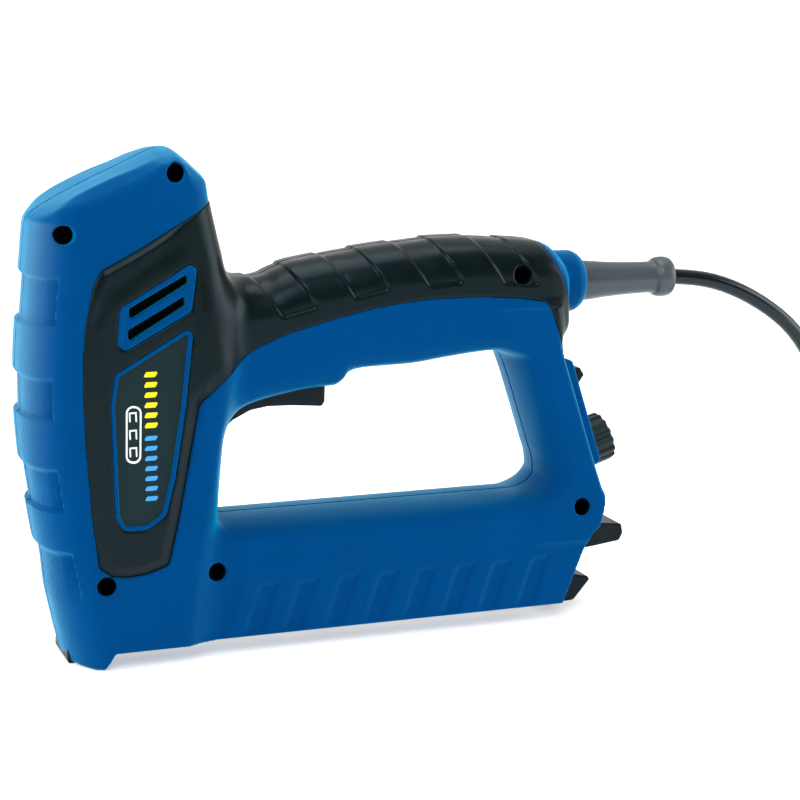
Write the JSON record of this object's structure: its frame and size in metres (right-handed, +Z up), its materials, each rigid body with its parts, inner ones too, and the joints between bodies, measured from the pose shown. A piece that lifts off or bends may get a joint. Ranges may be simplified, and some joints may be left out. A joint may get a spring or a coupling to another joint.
{
  "type": "electric stapler",
  "caption": "Mains electric stapler with a closed D handle, trigger, rear rocker switch and power dial, slide-out staple magazine, cord and plug.",
  "frame": {"origin": "on the surface the nose stands on, in the tool's centre plane, midway between the front of the head and the end of the cord boot", "axes": "+X from the head towards the cord, +Y to the tool's right side, +Z up"},
  "size_m": [0.3759, 0.0676, 0.1683],
  "materials": {
    "blue_housing": "fine textured moulded plastic",
    "soft_grip": "satin soft overmould",
    "black_plastic": "satin moulded plastic",
    "badge": "printed plate",
    "cord_sheath": "smooth sheath",
    "boot_rubber": "satin",
    "steel": "plated sheet and wire",
    "dark_steel": "blackened",
    "copper": "enamelled wire",
    "brass_pin": "polished",
    "board": "lacquered board",
    "component": "moulded part",
    "lead_sheath": "wire sheath"
  },
  "bodies": {
    "housing": {"left_housing_shell": "blue_housing", "right_housing_shell": "blue_housing", "left_grip_overmould": "soft_grip", "right_grip_overmould": "soft_grip", "left_badge_plate": "badge", "right_badge_plate": "badge", "rear_control_panel": "blue_housing", "rocker_switch_body": "black_plastic", "potentiometer_body": "component", "housing_screw_1": "dark_steel", "housing_screw_2": "dark_steel", "housing_screw_3": "dark_steel", "housing_screw_4": "dark_steel", "housing_screw_5": "dark_steel", "housing_screw_6": "dark_steel", "trigger_pin": "steel", "trigger_spring": "steel", "microswitch_body": "black_plastic", "solenoid_frame": "steel", "coil_bobbin": "component", "coil_winding": "copper", "plunger_spring": "steel", "top_bumper": "boot_rubber", "bottom_bumper": "boot_rubber", "nose_front_plate": "dark_steel", "nose_back_plate": "steel", "magazine_channel": "steel", "latch_pin": "steel", "latch_spring": "steel", "control_board": "board", "capacitor": "component", "triac": "black_plastic", "lead_clamp_to_switch": "lead_sheath", "lead_switch_to_board": "lead_sheath", "lead_board_to_coil": "lead_sheath", "cord_boot": "boot_rubber", "cord_clamp": "black_plastic", "clamp_screw_1": "steel", "clamp_screw_2": "steel", "power_cord": "cord_sheath", "cord_coil": "cord_sheath", "coil_tie": "black_plastic", "plug_body": "black_plastic", "plug_pin_earth": "brass_pin", "plug_pin_live": "brass_pin", "plug_pin_neutral": "brass_pin"},
    "trigger": {"trigger": "black_plastic"},
    "switch_lever": {"microswitch_lever": "steel"},
    "rocker": {"rocker_switch_key": "black_plastic"},
    "dial": {"power_dial": "black_plastic", "potentiometer_shaft": "steel"},
    "drive": {"plunger": "steel", "driver_blade": "steel"},
    "magazine": {"magazine_tray": "steel", "staple_strip": "steel", "magazine_end_cap": "black_plastic", "pusher_rod": "steel", "pusher_spring": "steel"},
    "pusher": {"pusher": "steel"},
    "latch": {"magazine_latch": "black_plastic"}
  },
  "joints": [
    {"name": "trigger_pivot", "type": "hinge", "parent": "housing", "child": "trigger", "pos_m": [-0.06025, 0, 0.0865], "axis": [0, -1, 0], "range_deg": [0, 5.5], "stiffness_Nm_per_rad": 1.2, "springref_deg": -4.58, "deforming": ["trigger_spring"]},
    {"name": "lever_pivot", "type": "hinge", "parent": "housing", "child": "switch_lever", "pos_m": [-0.03375, 0, 0.1005], "axis": [0, -1, 0], "range_deg": [0, 11], "stiffness_Nm_per_rad": 0.01, "springref_deg": -11.46},
    {"name": "rocker_pivot", "type": "hinge", "parent": "housing", "child": "rocker", "pos_m": [0.07434, 0, 0.07922], "axis": [0, -1, 0], "range_deg": [0, 14]},
    {"name": "dial_spin", "type": "hinge", "parent": "housing", "child": "dial", "pos_m": [0.08088, 0, 0.05696], "axis": [0.9532, 0, 0.3022], "range_deg": [-135, 135]},
    {"name": "drive_slide", "type": "slide", "parent": "housing", "child": "drive", "axis": [0, 0, -1], "range_m": [0, 0.0155], "stiffness_N_per_m": 250, "springref_m": -0.01, "deforming": ["plunger_spring"]},
    {"name": "magazine_slide", "type": "slide", "parent": "housing", "child": "magazine", "axis": [1, 0, 0], "range_m": [0, 0.09]},
    {"name": "pusher_slide", "type": "slide", "parent": "magazine", "child": "pusher", "axis": [1, 0, 0], "range_m": [0, 0.045], "stiffness_N_per_m": 40, "springref_m": -0.05, "deforming": ["pusher_spring"]},
    {"name": "latch_pivot", "type": "hinge", "parent": "housing", "child": "latch", "pos_m": [0.07525, 0, 0.026], "axis": [0, 1, 0], "range_deg": [0, 8], "stiffness_Nm_per_rad": 0.08, "springref_deg": -11.46, "deforming": ["latch_spring"]}
  ],
  "couplings": [
    {"joint": "lever_pivot", "follows": "trigger_pivot", "ratio": 2}
  ]
}
